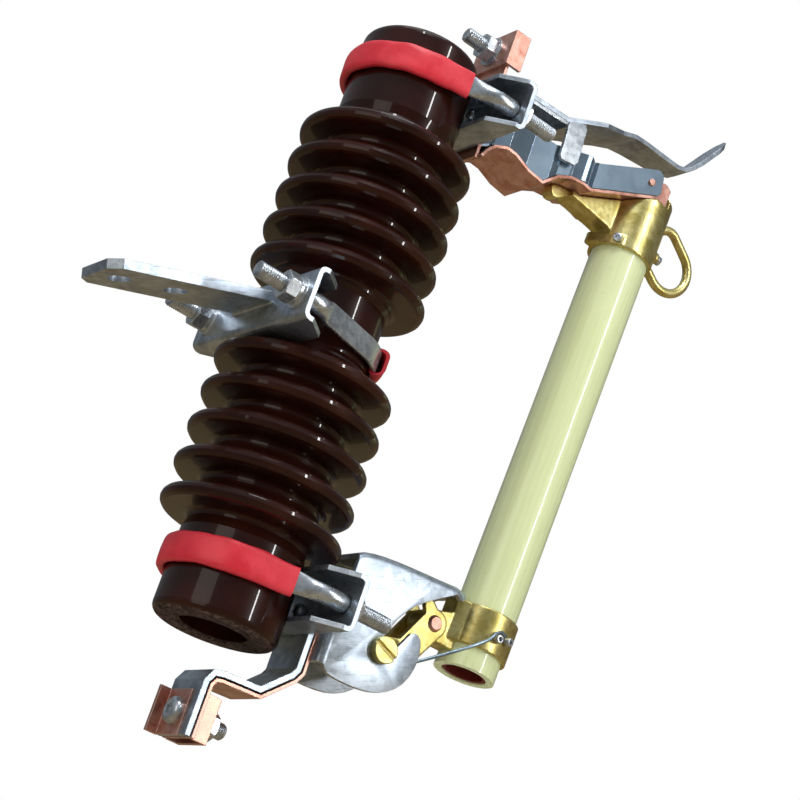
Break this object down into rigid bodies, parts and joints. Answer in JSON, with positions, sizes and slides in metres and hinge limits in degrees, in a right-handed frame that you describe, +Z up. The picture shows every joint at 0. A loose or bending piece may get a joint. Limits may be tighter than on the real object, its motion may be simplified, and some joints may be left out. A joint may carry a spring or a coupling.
{
  "type": "dropout fuse cutout",
  "caption": "Dropout fuse cutout for a medium voltage line: porcelain insulator on a mounting bar, with a fuse tube that swings open on its lower hinge.",
  "frame": {"origin": "on the mounting bar's top face, midway between its two bolt holes", "axes": "+Z up as installed, out of the bar's top face; +X from the bar towards the fuse tube; Y across, with the insulator and tube in the plane Y = 0"},
  "size_m": [0.4688, 0.128, 0.4652],
  "materials": {
    "porcelain": "gloss glaze",
    "galvanized": "hot dip galvanized",
    "zinc_plate": "bright zinc plate",
    "spring_steel": "smooth",
    "red_rubber": "satin",
    "copper": "bare copper",
    "cast_brass": "cast",
    "fibreglass": "gloss resin",
    "fibre_liner": "matte"
  },
  "bodies": {
    "root": {"insulator": "porcelain", "mount_bar": "galvanized", "middle_bracket": "galvanized", "middle_strap": "zinc_plate", "middle_sleeve": "red_rubber", "middle_nuts": "zinc_plate", "middle_washers": "zinc_plate", "upper_bracket": "galvanized", "upper_strap": "zinc_plate", "upper_sleeve": "red_rubber", "upper_nuts": "zinc_plate", "upper_contact_strip": "copper", "contact_spring": "spring_steel", "contact_rivets": "copper", "guide_arm": "galvanized", "guide_clips": "zinc_plate", "upper_terminal_clamp": "copper", "upper_terminal_bolt": "zinc_plate", "upper_terminal_nut": "zinc_plate", "lower_bracket": "galvanized", "lower_strap": "zinc_plate", "lower_sleeve": "red_rubber", "lower_nuts": "zinc_plate", "hanger": "galvanized", "lower_contact": "copper", "lower_terminal_steel": "galvanized", "lower_terminal_copper": "copper", "terminal_clamps": "copper", "lower_terminal_bolt": "zinc_plate", "lower_terminal_nut": "zinc_plate"},
    "trunnion": {"trunnion": "cast_brass", "toggle_pin": "copper"},
    "fuse_carrier": {"fuse_tube": "fibreglass", "tube_liner": "fibre_liner", "top_casting": "cast_brass", "pull_ring": "cast_brass", "top_screws": "zinc_plate", "bottom_collar": "cast_brass", "bottom_screws": "zinc_plate", "ejector_wire": "spring_steel"}
  },
  "joints": [
    {"name": "trunnion_hinge", "type": "hinge", "parent": "root", "child": "trunnion", "pos_m": [0.15947, 0, -0.19778], "axis": [0, 1, 0], "range_deg": [0, 145]},
    {"name": "toggle_hinge", "type": "hinge", "parent": "trunnion", "child": "fuse_carrier", "pos_m": [0.20531, 0, -0.17711], "axis": [0, 1, 0], "range_deg": [-14.5, 0]}
  ],
  "couplings": [
    {"joint": "toggle_hinge", "follows": "trunnion_hinge", "ratio": -0.1}
  ]
}
